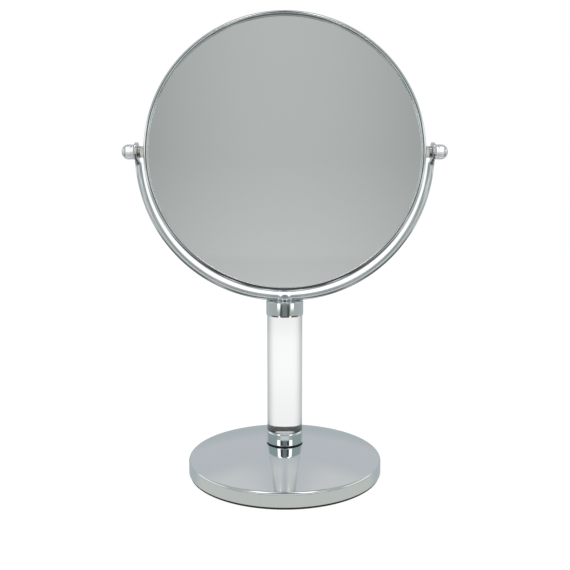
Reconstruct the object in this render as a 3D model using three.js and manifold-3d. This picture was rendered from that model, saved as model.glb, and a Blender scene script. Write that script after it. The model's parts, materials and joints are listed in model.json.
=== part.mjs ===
// Free-standing table mirror: a round two-sided mirror that turns in a bent-wire yoke, on a clear
// acrylic column with a weighted, chrome-plated base.
// Millimetres, +Z up. The plain mirror faces -Y, and X runs along the pivot axis, to the right.
// The origin is the middle of the underside.
import * as THREE from "three";
import { mergeVertices } from "three/addons/utils/BufferGeometryUtils.js";
import Module from "manifold-3d";

const wasm = await Module();
wasm.setup();

// ---------- driving dimensions ----------

const BIG_ROUND = 48; // facets round the base and the mirror frame
const MID_ROUND = 24; // facets round the column and its fittings
const SMALL_ROUND = 16; // facets round screws, washers and knobs
const SHEET = 0.8; // plated sheet steel
const TOUCH = 0.3; // gap between touching pieces that turn with the head
const RUNNING = 0.1; // radial clearance of a shaft in its hole

const base = {
  radius: 63.4,
  edgeRadius: 2,
  domeRadius: 230,
  seatRadius: 12.6, // the flat in the middle, under the column
  seatZ: 18.7,
  padRadius: 62.8,
  padThick: 1.3,
};

const ballast = {
  radius: 60,
  bottomZ: 1.6,
  topZ: 8.6,
  bossRadius: 15,
  bossTopZ: 17.3,
  counterbore: { radius: 7, topZ: 7.4 },
};

const column = {
  radius: 11.5,
  sleeveRadius: 12.1, // outside of the collar and the cap
  sleeveBore: 11.6,
  gasketThick: 0.8,
  collarTopZ: 27.7,
  capBottomZ: 104.2,
  capTopZ: 113.8,
  endWall: 1.4, // floor of the collar and crown of the cap
  chamfer: 0.5,
  rimBevel: { height: 1, width: 0.4 }, // at the mouth of the collar and the cap
};

const insert = { radius: 4, length: 5.2, socket: 4.1 }; // tapped brass insert in each end of the rod
const baseBolt = { radius: 2.5, acrossFlats: 8, headHeight: 3.2, washerRadius: 6, washerThick: 1.1 };
const yokeScrew = { radius: 2, headRadius: 2.8, headHeight: 1.8, tipZ: 107.5, slot: 0.7 };

const pivotZ = 209;
const headTilt = THREE.MathUtils.degToRad(8); // the top of the mirror leans back at rest

const frame = {
  radius: 89,
  depth: 14, // front lip to rear lip
  edgeRadius: 2.5,
  lipWidth: 2.8,
  seam: 0.3,
  tongueLength: 2.5, // how far the rear shell reaches inside the front one
  tongueThick: 0.6,
};

const glass = { radius: 87, thick: 2, recess: 1.1, curveRadius: 750 };
const carrier = { innerRadius: 80, outerRadius: 87 };

const yoke = {
  halfWidth: 93.45, // centre line of the wire, from the pivot axis
  drop: 93.6,
  squareness: 2.06, // exponent of the curve, where 2 is an ellipse
  wireRadius: 2,
  wireFacets: 8,
  steps: 36,
  eyeRadius: 6,
  eyeInnerX: 93.1,
  eyeOuterX: 95,
  neckZ: 5.2, // how far below the pivot the wire starts to be flattened
  seatThick: 2.1,
  seatRadius: 4,
  seatHalfLength: 4,
};

const pivot = {
  screwRadius: 2,
  screwInnerX: 82.6,
  screwOuterX: 99,
  nut: { innerX: 83.4, outerX: 86.4, width: 6.4 },
  washerX: [89.05, 91.3],
  spacerX: [91.35, 93],
  washerRadius: 3.6,
  outerWasherX: [95.1, 95.4],
  outerWasherRadius: 4.4,
  wallHole: 2.6,
};

const knob = {
  innerX: 95.5,
  outerX: 103.6,
  radius: 4.7,
  flange: 1, // thickness of the rim next to the yoke
  grooveWidth: 0.6,
  grooveDepth: 0.6,
  domeLength: 4.4,
  boreDepth: 3.8,
};

// ---------- materials ----------

const chrome = { color: 0xd4d8da, metalness: 1, roughness: 0.06 };
const mirrorSilver = { color: 0xe3e7e6, metalness: 1, roughness: 0.02 };
const clearAcrylic = {
  color: 0xf4f8f8,
  metalness: 0,
  roughness: 0.04,
  transparent: true,
  opacity: 0.3,
};
const blackRubber = { color: 0x151515, metalness: 0, roughness: 0.85 };
const castIron = { color: 0x4a4a4c, metalness: 0.7, roughness: 0.7 };
const platedSteel = { color: 0xa8a9a6, metalness: 1, roughness: 0.35 };
const brass = { color: 0xb08d4a, metalness: 1, roughness: 0.35 };
const nylon = { color: 0xe6e1d2, metalness: 0, roughness: 0.5 };
const mouldedPlastic = { color: 0x2f3032, metalness: 0, roughness: 0.6 };
const foam = { color: 0xd9d9d4, metalness: 0, roughness: 0.95 };

// ---------- geometry helpers ----------

const p = (x, y) => new THREE.Vector2(x, y);

// Points of an arc about (cx, cy), angles in radians.
function arc(cx, cy, radius, from, to, steps) {
  const points = [];
  for (let i = 0; i <= steps; i++) {
    const angle = from + ((to - from) * i) / steps;
    points.push(p(cx + radius * Math.cos(angle), cy + radius * Math.sin(angle)));
  }
  return points;
}

// Revolves a profile of (radius, height) points about Y.
// An open profile starts and ends on the axis, and a closed one repeats its first point.
const revolve = (points, facets) => new THREE.LatheGeometry(points, facets);

const closed = (points) => [...points, points[0].clone()];

// Turns a geometry made about Y so that its axis is Z.
const aboutZ = (geometry) => geometry.rotateX(Math.PI / 2);

// Turns a geometry made about Y so that its axis points outwards along X, on side +1 or -1.
const aboutX = (geometry, side) => geometry.rotateZ((-side * Math.PI) / 2);

// A ring or a disc (innerRadius 0) from height bottom to top, about Y.
function ring(outerRadius, innerRadius, bottom, top, facets) {
  const outer = [p(outerRadius, bottom), p(outerRadius, top)];
  if (innerRadius === 0) return revolve([p(0, bottom), ...outer, p(0, top)], facets);
  return revolve(closed([p(innerRadius, bottom), ...outer, p(innerRadius, top)]), facets);
}

function box(width, depth, height, x, y, z) {
  return new THREE.BoxGeometry(width, depth, height).translate(x, y, z);
}

function toSolid(geometry) {
  const bare = geometry.clone();
  bare.deleteAttribute("normal");
  bare.deleteAttribute("uv");
  const merged = mergeVertices(bare, 1e-4);
  return new wasm.Manifold(
    new wasm.Mesh({
      numProp: 3,
      vertProperties: merged.attributes.position.array,
      triVerts: new Uint32Array(merged.index.array),
    }),
  );
}

function toGeometry(solid) {
  const { vertProperties, triVerts } = solid.getMesh();
  const geometry = new THREE.BufferGeometry();
  geometry.setAttribute("position", new THREE.BufferAttribute(vertProperties, 3));
  geometry.setIndex(new THREE.BufferAttribute(triVerts, 1));
  geometry.computeVertexNormals();
  return geometry;
}

// One geometry minus others.
function cut(geometry, ...tools) {
  return toGeometry(tools.reduce((solid, tool) => solid.subtract(toSolid(tool)), toSolid(geometry)));
}

function join(...geometries) {
  return toGeometry(geometries.map(toSolid).reduce((sum, solid) => sum.add(solid)));
}

function piece(name, geometry, look) {
  const mesh = new THREE.Mesh(geometry, new THREE.MeshStandardMaterial(look));
  mesh.name = name;
  return mesh;
}

// ---------- base ----------

// Half of the cover's section at one depth below its outer skin: seat, dome, rounded edge and wall.
function coverSkin(depth) {
  const domeCentreZ = base.seatZ - Math.sqrt(base.domeRadius ** 2 - base.seatRadius ** 2);
  const edgeX = base.radius - base.edgeRadius;
  const edgeZ = domeCentreZ + Math.sqrt((base.domeRadius - base.edgeRadius) ** 2 - edgeX ** 2);
  const seatAngle = Math.acos(base.seatRadius / base.domeRadius);
  const edgeAngle = Math.atan2(edgeZ - domeCentreZ, edgeX);
  const dome = arc(0, domeCentreZ, base.domeRadius - depth, seatAngle, edgeAngle, 4);
  const edge = arc(edgeX, edgeZ, base.edgeRadius - depth, edgeAngle, 0, 2).slice(1);
  return [
    p(baseBolt.radius + RUNNING, base.seatZ - depth),
    ...dome,
    ...edge,
    p(base.radius - depth, base.padThick),
  ];
}

function baseCover() {
  const section = closed([...coverSkin(0), ...coverSkin(SHEET).reverse()].reverse());
  return piece("base_cover", aboutZ(revolve(section, BIG_ROUND)), chrome);
}

function basePad() {
  return piece("base_pad", aboutZ(ring(base.padRadius, 0, 0, base.padThick, BIG_ROUND)), blackRubber);
}

function ballastDisc() {
  const hole = baseBolt.radius + RUNNING;
  const { counterbore } = ballast;
  const section = closed([
    p(counterbore.radius, ballast.bottomZ),
    p(ballast.radius, ballast.bottomZ),
    p(ballast.radius, ballast.topZ),
    p(ballast.bossRadius, ballast.topZ),
    p(ballast.bossRadius, ballast.bossTopZ),
    p(hole, ballast.bossTopZ),
    p(hole, counterbore.topZ),
    p(counterbore.radius, counterbore.topZ),
  ]);
  return piece("ballast_disc", aboutZ(revolve(section, BIG_ROUND)), castIron);
}

// Hexagon-headed bolt from below, through the ballast, the cover and the collar into the rod.
function baseBoltPieces() {
  const washerTop = ballast.counterbore.topZ;
  const headTop = washerTop - baseBolt.washerThick;
  const hexRadius = baseBolt.acrossFlats / 2 / Math.cos(Math.PI / 6);
  const tipZ = collarFloorZ() + insert.length - 0.4;
  const bolt = join(
    aboutZ(ring(hexRadius, 0, headTop - baseBolt.headHeight, headTop, 6)),
    aboutZ(ring(baseBolt.radius, 0, headTop - 1, tipZ, SMALL_ROUND)),
  );
  const washer = ring(
    baseBolt.washerRadius,
    baseBolt.radius + RUNNING,
    headTop,
    washerTop,
    SMALL_ROUND,
  );
  return [
    piece("base_bolt", bolt, platedSteel),
    piece("base_bolt_washer", aboutZ(washer), platedSteel),
  ];
}

// ---------- column ----------

const collarBottomZ = () => base.seatZ + column.gasketThick;
const collarFloorZ = () => collarBottomZ() + column.endWall;
const capCrownZ = () => column.capTopZ - column.endWall;

function baseGasket() {
  const disc = ring(
    column.sleeveRadius - 0.3,
    baseBolt.radius + RUNNING,
    base.seatZ,
    collarBottomZ(),
    MID_ROUND,
  );
  return piece("base_gasket", aboutZ(disc), blackRubber);
}

// A cup that holds one end of the rod. Heights run from its closed end (0) to its rim.
function cupSection(height, hole) {
  const { sleeveRadius, sleeveBore, endWall, chamfer, rimBevel } = column;
  return closed([
    p(hole, 0),
    p(sleeveRadius - chamfer, 0),
    p(sleeveRadius, chamfer),
    p(sleeveRadius, height - rimBevel.height),
    p(sleeveRadius - rimBevel.width, height),
    p(sleeveBore, height),
    p(sleeveBore, endWall),
    p(hole, endWall),
  ]);
}

function lowerCollar() {
  const height = column.collarTopZ - collarBottomZ();
  const cup = revolve(cupSection(height, baseBolt.radius + RUNNING), MID_ROUND);
  return piece("lower_collar", aboutZ(cup).translate(0, 0, collarBottomZ()), chrome);
}

function upperCap() {
  const height = column.capTopZ - column.capBottomZ;
  const cup = revolve(cupSection(height, yokeScrew.radius + RUNNING), MID_ROUND);
  return piece(
    "upper_cap",
    aboutZ(cup).rotateX(Math.PI).translate(0, 0, column.capTopZ),
    chrome,
  );
}

// Solid clear rod with a blind socket for a tapped insert in each end.
function acrylicColumn() {
  const bottom = collarFloorZ();
  const top = capCrownZ();
  const { radius, chamfer } = column;
  const section = [
    p(0, bottom + insert.length + RUNNING),
    p(insert.socket, bottom + insert.length + RUNNING),
    p(insert.socket, bottom),
    p(radius - chamfer, bottom),
    p(radius, bottom + chamfer),
    p(radius, top - chamfer),
    p(radius - chamfer, top),
    p(insert.socket, top),
    p(insert.socket, top - insert.length - RUNNING),
    p(0, top - insert.length - RUNNING),
  ];
  return piece("acrylic_column", aboutZ(revolve(section, MID_ROUND)), clearAcrylic);
}

function insertPieces() {
  const lower = ring(
    insert.radius,
    baseBolt.radius + RUNNING,
    collarFloorZ(),
    collarFloorZ() + insert.length,
    SMALL_ROUND,
  );
  const upper = ring(
    insert.radius,
    yokeScrew.radius + RUNNING,
    capCrownZ() - insert.length,
    capCrownZ(),
    SMALL_ROUND,
  );
  return [
    piece("lower_insert", aboutZ(lower), brass),
    piece("upper_insert", aboutZ(upper), brass),
  ];
}

// ---------- yoke ----------

class YokeLine extends THREE.Curve {
  // From just below the right pivot, round the bottom, to just below the left one.
  getPoint(t, target = new THREE.Vector3()) {
    const start = Math.asin(1 / yoke.drop);
    const angle = start + t * (Math.PI - 2 * start);
    const power = 2 / yoke.squareness;
    const across = Math.cos(angle);
    const x = yoke.halfWidth * Math.sign(across) * Math.abs(across) ** power;
    return target.set(x, 0, pivotZ - yoke.drop * Math.sin(angle) ** power);
  }
}

function yokeWire() {
  const section = new THREE.Shape(arc(0, 0, yoke.wireRadius, 0, 2 * Math.PI, yoke.wireFacets).slice(1));
  return new THREE.ExtrudeGeometry(section, {
    steps: yoke.steps,
    extrudePath: new YokeLine(),
  });
}

function yokeBow() {
  const seatTop = column.capTopZ + yoke.seatThick;
  const seatPad = ring(yoke.seatRadius, 0, column.capTopZ, seatTop, MID_ROUND);
  const flat = box(2 * yoke.seatHalfLength, 10, 10, 0, 0, seatTop + 5);
  const holder = [aboutZ(seatPad)];
  const cuts = [
    flat,
    box(60, 10, 4, 0, 0, column.capTopZ - 2),
    aboutZ(ring(yokeScrew.radius + RUNNING, 0, column.capTopZ - 1, seatTop + 1, SMALL_ROUND)),
  ];
  for (const side of [1, -1]) {
    const eye = ring(yoke.eyeRadius, 0, yoke.eyeInnerX, yoke.eyeOuterX, MID_ROUND);
    holder.push(aboutX(eye, side).translate(0, 0, pivotZ));
    // The wire's inner half is pressed away where it becomes the eye, and a sliver outside it.
    const inner = box(10, 10, 2 * yoke.neckZ, side * (yoke.eyeInnerX - 5), 0, pivotZ);
    const outer = box(10, 10, 2 * yoke.neckZ, side * (yoke.eyeOuterX + 5), 0, pivotZ);
    const hole = ring(pivot.screwRadius + RUNNING, 0, yoke.eyeInnerX - 1, yoke.eyeOuterX + 1, SMALL_ROUND);
    cuts.push(inner, outer, aboutX(hole, side).translate(0, 0, pivotZ));
  }
  return piece("yoke", cut(join(yokeWire(), ...holder), ...cuts), chrome);
}

function yokeScrewPiece() {
  const seatTop = column.capTopZ + yoke.seatThick;
  const { headRadius, headHeight, radius } = yokeScrew;
  // The domed head is a spherical cap on the shank.
  const sphere = (headRadius ** 2 + headHeight ** 2) / (2 * headHeight);
  const sphereZ = seatTop + headHeight - sphere;
  const rimAngle = Math.asin((seatTop - sphereZ) / sphere);
  const section = [
    p(0, yokeScrew.tipZ),
    p(radius, yokeScrew.tipZ),
    p(radius, seatTop),
    ...arc(0, sphereZ, sphere, rimAngle, Math.PI / 2, 4),
  ];
  section[section.length - 1].x = 0;
  const topZ = seatTop + headHeight;
  const screw = cut(
    aboutZ(revolve(section, SMALL_ROUND)),
    box(3.2, yokeScrew.slot, 1.6, 0, 0, topZ),
    box(yokeScrew.slot, 3.2, 1.6, 0, 0, topZ),
  );
  return piece("yoke_screw", screw, platedSteel);
}

// ---------- mirror head, about its own pivot, before it is tilted ----------

// One pressed shell's section, facing +Y: wall, rounded edge and lip. The rear shell adds a tongue.
function shellSection(withTongue) {
  const { radius, edgeRadius, lipWidth, seam, tongueLength, tongueThick } = frame;
  const face = frame.depth / 2;
  const bend = p(radius - edgeRadius, face - edgeRadius);
  const lipEdge = radius - lipWidth;
  const outer = arc(bend.x, bend.y, edgeRadius, 0, Math.PI / 2, 3);
  const inner = arc(bend.x, bend.y, edgeRadius - SHEET, Math.PI / 2, 0, 2);
  const points = [p(radius, seam / 2), ...outer, p(lipEdge, face), p(lipEdge, face - SHEET), ...inner];
  const wallInside = radius - SHEET;
  if (!withTongue) return closed([...points, p(wallInside, seam / 2)]);
  const tongueOuter = wallInside - TOUCH;
  const tongueInner = tongueOuter - tongueThick;
  return closed([
    ...points,
    p(wallInside, 1.8),
    p(tongueInner, 1.2),
    p(tongueInner, -tongueLength),
    p(tongueOuter, -tongueLength),
    p(tongueOuter, seam / 2),
  ]);
}

function frameShells() {
  const pins = [1, -1].map((side) => aboutX(ring(pivot.wallHole, 0, 84, 95, SMALL_ROUND), side));
  const front = revolve(shellSection(false), BIG_ROUND).rotateX(Math.PI);
  const rear = revolve(shellSection(true), BIG_ROUND);
  return [
    piece("front_frame_shell", cut(front, ...pins), chrome),
    piece("rear_frame_shell", cut(rear, ...pins), chrome),
  ];
}

const glassFace = () => frame.depth / 2 - glass.recess; // distance of each glass from the middle

function frontGlass() {
  const disc = ring(glass.radius, 0, -glassFace(), -glassFace() + glass.thick, BIG_ROUND);
  return piece("front_glass", disc, mirrorSilver);
}

// Height of the dished glass's hollow face above the middle of the head, at a radius.
function dishY(radius) {
  const sag = (r) => glass.curveRadius - Math.sqrt(glass.curveRadius ** 2 - r ** 2);
  return glassFace() - sag(glass.radius) + sag(radius);
}

const dishRadii = [0, 30, 60, 80];

function rearGlass() {
  const hollow = [...dishRadii, glass.radius].map((r) => p(r, dishY(r)));
  const back = hollow.map(({ x, y }) => p(x, y - glass.thick));
  return piece("rear_glass", revolve([...back, ...hollow.reverse()], BIG_ROUND), mirrorSilver);
}

// Foam between the two glasses: flat against the plain one, dished against the other.
function backingDisc() {
  const flatY = -glassFace() + glass.thick + TOUCH;
  const radii = [...dishRadii.slice(0, -1), carrier.innerRadius - TOUCH];
  const top = radii.map((r) => p(r, dishY(r) - glass.thick - TOUCH));
  return piece(
    "backing_disc",
    revolve([p(0, flatY), p(carrier.innerRadius - TOUCH, flatY), ...top.reverse()], BIG_ROUND),
    foam,
  );
}

// Moulded ring that keeps the glasses apart and holds the pivot nuts in two pockets.
function carrierRing() {
  const flatY = -glassFace() + glass.thick + TOUCH;
  const rearY = (r) => dishY(r) - glass.thick - TOUCH;
  const { innerRadius, outerRadius } = carrier;
  const { nut, screwRadius } = pivot;
  const section = closed([
    p(innerRadius, flatY),
    p(outerRadius, flatY),
    p(outerRadius, rearY(outerRadius)),
    p(innerRadius, rearY(innerRadius)),
  ]);
  const pocketLength = 10;
  const cuts = [1, -1].flatMap((side) => [
    box(pocketLength, 10, nut.width + 2 * TOUCH, side * (nut.innerX - TOUCH + pocketLength / 2), 0, 0),
    aboutX(ring(screwRadius + TOUCH, 0, innerRadius - 2, nut.innerX, SMALL_ROUND), side),
  ]);
  return piece("carrier_ring", cut(revolve(section, BIG_ROUND), ...cuts), mouldedPlastic);
}

// ---------- pivots, one set on each side ----------

function pivotNut(side, label) {
  const { nut, screwRadius } = pivot;
  const length = nut.outerX - nut.innerX;
  const block = box(length, nut.width, nut.width, side * (nut.innerX + length / 2), 0, 0);
  const bore = aboutX(
    ring(screwRadius + RUNNING, 0, nut.innerX - 1, nut.outerX + 1, SMALL_ROUND),
    side,
  );
  return piece(label + "_pivot_nut", cut(block, bore), platedSteel);
}

function washerPiece(name, side, radius, [fromX, toX], look) {
  const disc = ring(radius, pivot.screwRadius + RUNNING, fromX, toX, SMALL_ROUND);
  return piece(name, aboutX(disc, side), look);
}

function pivotScrew(side, label) {
  const { screwRadius, screwInnerX, screwOuterX } = pivot;
  const tip = 0.6;
  const section = [
    p(0, screwInnerX),
    p(screwRadius - tip, screwInnerX),
    p(screwRadius, screwInnerX + tip),
    p(screwRadius, screwOuterX),
    p(0, screwOuterX),
  ];
  return piece(label + "_pivot_screw", aboutX(revolve(section, SMALL_ROUND), side), platedSteel);
}

// Smooth domed thumb knob with a rim and a groove next to the yoke, bored for its screw.
function knobPiece(side, label) {
  const { innerX, outerX, radius, flange, grooveWidth, grooveDepth, domeLength } = knob;
  const bore = pivot.screwRadius + RUNNING;
  const grooveX = innerX + flange;
  const domeX = outerX - domeLength;
  const dome = arc(0, 0, 1, 0, Math.PI / 2, 5).map(({ x, y }) => p(radius * x, domeX + domeLength * y));
  dome[dome.length - 1].x = 0;
  const section = [
    p(0, innerX + knob.boreDepth),
    p(bore, innerX + knob.boreDepth),
    p(bore, innerX),
    p(radius, innerX),
    p(radius, grooveX),
    p(radius - grooveDepth, grooveX),
    p(radius - grooveDepth, grooveX + grooveWidth),
    p(radius, grooveX + grooveWidth),
    ...dome,
  ];
  return piece(label + "_knob", aboutX(revolve(section, SMALL_ROUND), side), chrome);
}

function pivotPieces(side, label) {
  const { washerRadius, washerX, spacerX, outerWasherRadius, outerWasherX } = pivot;
  return [
    pivotNut(side, label),
    washerPiece(label + "_nylon_washer", side, washerRadius, washerX, nylon),
    washerPiece(label + "_spacer", side, washerRadius, spacerX, platedSteel),
    washerPiece(label + "_outer_washer", side, outerWasherRadius, outerWasherX, nylon),
    pivotScrew(side, label),
    knobPiece(side, label),
  ];
}

// ---------- assembly ----------

const stand = new THREE.Group();
stand.add(basePad(), ballastDisc(), baseCover(), ...baseBoltPieces());
stand.add(baseGasket(), lowerCollar(), acrylicColumn(), ...insertPieces(), upperCap());
stand.add(yokeBow(), yokeScrewPiece());

const head = new THREE.Group();
head.add(...frameShells(), frontGlass(), rearGlass(), backingDisc(), carrierRing());
head.add(...pivotPieces(1, "right"), ...pivotPieces(-1, "left"));
head.position.z = pivotZ;
head.rotation.x = -headTilt;

const tableMirror = new THREE.Group();
tableMirror.add(stand, head);

export default tableMirror;
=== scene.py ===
import json
from math import asin, atan2, cos, hypot, pi, radians, sin, sqrt, tan

import bmesh
import bpy
from mathutils import Matrix, Vector


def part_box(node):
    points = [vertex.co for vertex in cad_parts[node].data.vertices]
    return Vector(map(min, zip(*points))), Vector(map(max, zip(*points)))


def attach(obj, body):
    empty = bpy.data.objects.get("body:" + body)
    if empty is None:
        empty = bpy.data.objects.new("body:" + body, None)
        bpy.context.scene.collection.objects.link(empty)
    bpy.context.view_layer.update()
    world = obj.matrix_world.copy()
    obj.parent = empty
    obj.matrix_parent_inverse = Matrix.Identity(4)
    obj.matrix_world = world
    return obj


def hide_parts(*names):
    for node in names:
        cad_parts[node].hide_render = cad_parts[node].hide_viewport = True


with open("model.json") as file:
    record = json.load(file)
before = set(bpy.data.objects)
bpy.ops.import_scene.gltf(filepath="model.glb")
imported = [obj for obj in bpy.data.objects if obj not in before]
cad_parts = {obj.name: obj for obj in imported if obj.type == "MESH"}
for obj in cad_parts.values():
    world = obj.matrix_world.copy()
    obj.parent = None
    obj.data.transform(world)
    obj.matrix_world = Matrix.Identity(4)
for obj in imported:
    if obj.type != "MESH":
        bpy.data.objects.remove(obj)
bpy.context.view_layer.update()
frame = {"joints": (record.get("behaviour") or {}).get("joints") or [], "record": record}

# A two-sided table mirror in a wire yoke, on a clear column with a weighted chrome base.
# Metres, +Z up. The plain mirror faces -Y, and the pivots lie along X.

# ---------- sizes: places come from the frame, and these are what its boxes don't give ----------

MM = 0.001
ROUND = 192  # facets round the base and the mirror
FINE = 96  # facets round the column and its fittings
SMALL = 64  # facets round screws, washers and knobs
SHARP = radians(32)  # edges that turn further than this stay sharp in the shading
SHEET = 0.8 * MM  # plated sheet steel
HEM = 0.25 * MM  # rounding of a cut sheet edge
RUNNING = 0.1 * MM  # radial clearance of a shaft in its hole
TOUCH = 0.3 * MM  # gap between pieces that lie in each other
PAST = 3 * MM  # how far a cutting tool reaches past what it cuts
HAIR = 0.01 * MM  # tolerance for finding a face by its place, and edge of a cutting pin
ON_AXIS = 1e-9  # a smaller radius is a point on the axis

TILT = radians(8)  # the top of the mirror leans back at rest
DOME_RADIUS = 230 * MM
SEAT_RADIUS = 12.6 * MM
COVER_EDGE = 2 * MM  # rounding between the cover's dome and its wall
BOLT_RADIUS = 2.5 * MM
BOLT_HOLE = BOLT_RADIUS + RUNNING
SLEEVE_BORE = 11.6 * MM
END_WALL = 1.4 * MM  # floor of the collar and crown of the cap
RIM_BEVEL = 1 * MM  # height of the bevel at the mouth of the collar and the cap
COLLAR_BEVEL, CAP_BEVEL = 0.27 * MM, 0.4 * MM  # and its width on each

FRAME_DEPTH = 14 * MM
FRAME_EDGE = 2.5 * MM  # rounding between the wall of a shell and its lip
LIP_WIDTH = 2.8 * MM
CREASE_IN = 1.95 * MM  # where the rolled lip meets the rounded edge, in from the outside
CREASE_DEPTH = 0.5 * MM
SEAM = 0.3 * MM
WALL_HOLE = 2.6 * MM  # for the pivot screw, with room
GLASS_THICK = 2 * MM
GLASS_RECESS = 1.1 * MM
GLASS_EDGE = 0.2 * MM  # chamfer of the dished glass
DISH_RADIUS = 750 * MM

SCREW_RADIUS = 2 * MM
SCREW_PITCH = 0.7 * MM
SCREW_HOLE = SCREW_RADIUS + RUNNING
KNOB_RADIUS = 4.7 * MM
KNOB_FLANGE = 1 * MM
GROOVE = 0.6 * MM  # depth and width of the knob's groove
KNOB_DOME = 4.4 * MM
SPACER_RADIUS = 3.6 * MM
OUTER_WASHER_RADIUS = 4.4 * MM

WIRE_RADIUS = 2 * MM
YOKE_HALF_WIDTH = 93.45 * MM  # centre line of the wire, from the pivot axis
YOKE_DROP = 93.6 * MM
YOKE_SQUARENESS = 2.06  # exponent of the curve, where 2 is an ellipse
EYE_RADIUS = 6 * MM
EYE_INNER, EYE_OUTER = 93.1 * MM, 95 * MM
EYE_PRESSED = (4.4 * MM, 7.6 * MM)  # pressed flat to the first, and the full wire from the second
EYE_SHOULDER = (4.8 * MM, 8.8 * MM)  # the same for the shoulders below the eye
SHOULDER_WIDTH = 1.6 * MM  # what they add to the wire's half width
EYE_SQUARENESS = 3.5  # what pressing adds to the squareness of the wire's section
YOKE_SEAT_RADIUS = 4 * MM
YOKE_SEAT_THICK = 2.1 * MM
SEAT_PRESSED = (2.9 * MM, 3.7 * MM)
SEAT_SQUARENESS = 2.5

# ---------- camera ----------

CAMERA_PLACE = (0.00015, -0.4394, 0.1740)
CAMERA_PITCH = radians(-6.51)
CAMERA_LENS = 42.98  # mm, on a 36 mm sensor


def make_camera():
    camera = bpy.data.objects.new("camera", bpy.data.cameras.new("camera"))
    bpy.context.scene.collection.objects.link(camera)
    camera.data.sensor_width = 36
    camera.data.lens = CAMERA_LENS
    camera.data.clip_start = 0.01
    camera.location = CAMERA_PLACE
    camera.rotation_euler = (pi / 2 + CAMERA_PITCH, 0, 0)
    bpy.context.scene.camera = camera


# ---------- the frame: what each node is, and where ----------

RECORD = frame["record"]
SLOT_OF = {part["node"]: part["material_slot"] for part in RECORD["subparts"]}
BODY_OF = {node: body for body, nodes in RECORD["behaviour"]["bodies"].items() for node in nodes}
PIVOT_Z = next(joint for joint in frame["joints"] if joint["name"] == "head_tilt")["pos_m"][2]

HEAD = Matrix.Translation((0, 0, PIVOT_Z)) @ Matrix.Rotation(-TILT, 4, "X")
FRONT = HEAD @ Matrix.Rotation(pi / 2, 4, "X")  # local Z runs out of the plain mirror
REAR = HEAD @ Matrix.Rotation(-pi / 2, 4, "X")  # and out of the dished one
SIDES = {"right": 1, "left": -1}


def outwards(side):
    """Local Z runs out along the pivot axis on that side."""
    return HEAD @ Matrix.Rotation(SIDES[side] * pi / 2, 4, "Y")


def radius_of(node):
    low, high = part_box(node)
    return (high.x - low.x) / 2


def heights(node):
    low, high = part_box(node)
    return low.z, high.z


def reach(node):
    """Nearest and furthest distance from the middle, along the pivot axis."""
    low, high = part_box(node)
    return min(abs(low.x), abs(high.x)), max(abs(low.x), abs(high.x))


# ---------- shader helpers ----------


def add_node(tree, kind, inputs=None, **settings):
    """Adds a shader node, and sets or links its inputs by name or number."""
    made = tree.nodes.new("ShaderNode" + kind)
    for name, value in settings.items():
        setattr(made, name, value)
    for name, value in (inputs or {}).items():
        if isinstance(value, bpy.types.NodeSocket):
            tree.links.new(value, made.inputs[name])
        else:
            made.inputs[name].default_value = value
    return made


def math_node(tree, operation, *values):
    made = add_node(tree, "Math", dict(enumerate(values)), operation=operation)
    return made.outputs[0]


def remap(tree, value, from_low, from_high, to_low, to_high, smooth=False):
    inputs = {"Value": value, 1: from_low, 2: from_high, 3: to_low, 4: to_high}
    kind = "SMOOTHSTEP" if smooth else "LINEAR"
    return add_node(tree, "MapRange", inputs, interpolation_type=kind).outputs[0]


def noise(tree, scale, detail, stretch=(1, 1, 1)):
    """Noise in object space, with scale in features per metre."""
    place = add_node(tree, "TexCoord").outputs["Object"]
    mapped = add_node(tree, "Mapping", {"Vector": place, "Scale": stretch}).outputs[0]
    inputs = {"Vector": mapped, "Scale": scale, "Detail": detail}
    return add_node(tree, "TexNoise", inputs).outputs[0]


def blend_colours(tree, share, first, second):
    inputs = {0: share, 6: (*first, 1), 7: (*second, 1)}
    return add_node(tree, "Mix", inputs, data_type="RGBA").outputs[2]


def new_material(name, **values):
    """A Principled material. Uniform values go straight on its own sockets."""
    made = bpy.data.materials.new(name)
    made.use_nodes = True
    shader = made.node_tree.nodes["Principled BSDF"]
    for socket, value in values.items():
        shader.inputs[socket.replace("_", " ")].default_value = value
    return made, made.node_tree, shader


def set_surface(tree, shader, tint, roughness):
    tree.links.new(tint, shader.inputs["Base Color"])
    tree.links.new(roughness, shader.inputs["Roughness"])


def add_bump(tree, shader, height, depth, strength):
    """Relief of that depth in metres."""
    bump = add_node(tree, "Bump", {"Height": height, "Distance": depth, "Strength": strength})
    tree.links.new(bump.outputs[0], shader.inputs["Normal"])


# ---------- materials ----------


def chrome_material():
    """Bright chrome plate: nearly a mirror, with faint wiping marks and an uneven bloom."""
    made, tree, shader = new_material("chrome", Metallic=1.0)
    bloom = noise(tree, 60, 3)
    tint = blend_colours(tree, bloom, (0.86, 0.875, 0.885), (0.9, 0.905, 0.905))
    wiped = noise(tree, 260, 5, stretch=(1, 1, 0.15))
    set_surface(tree, shader, tint, remap(tree, wiped, 0.35, 0.75, 0.025, 0.06))
    add_bump(tree, shader, noise(tree, 900, 2), 0.002 * MM, 0.3)
    return made


def satin_material():
    """Softer plating, on the knobs."""
    made, tree, shader = new_material("satin_chrome", Metallic=1.0)
    tint = blend_colours(tree, noise(tree, 120, 3), (0.9, 0.91, 0.91), (0.95, 0.95, 0.945))
    brushed = noise(tree, 1500, 3, stretch=(1, 0.1, 0.1))
    set_surface(tree, shader, tint, remap(tree, brushed, 0.3, 0.7, 0.2, 0.3))
    add_bump(tree, shader, brushed, 0.004 * MM, 0.3)
    return made


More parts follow.
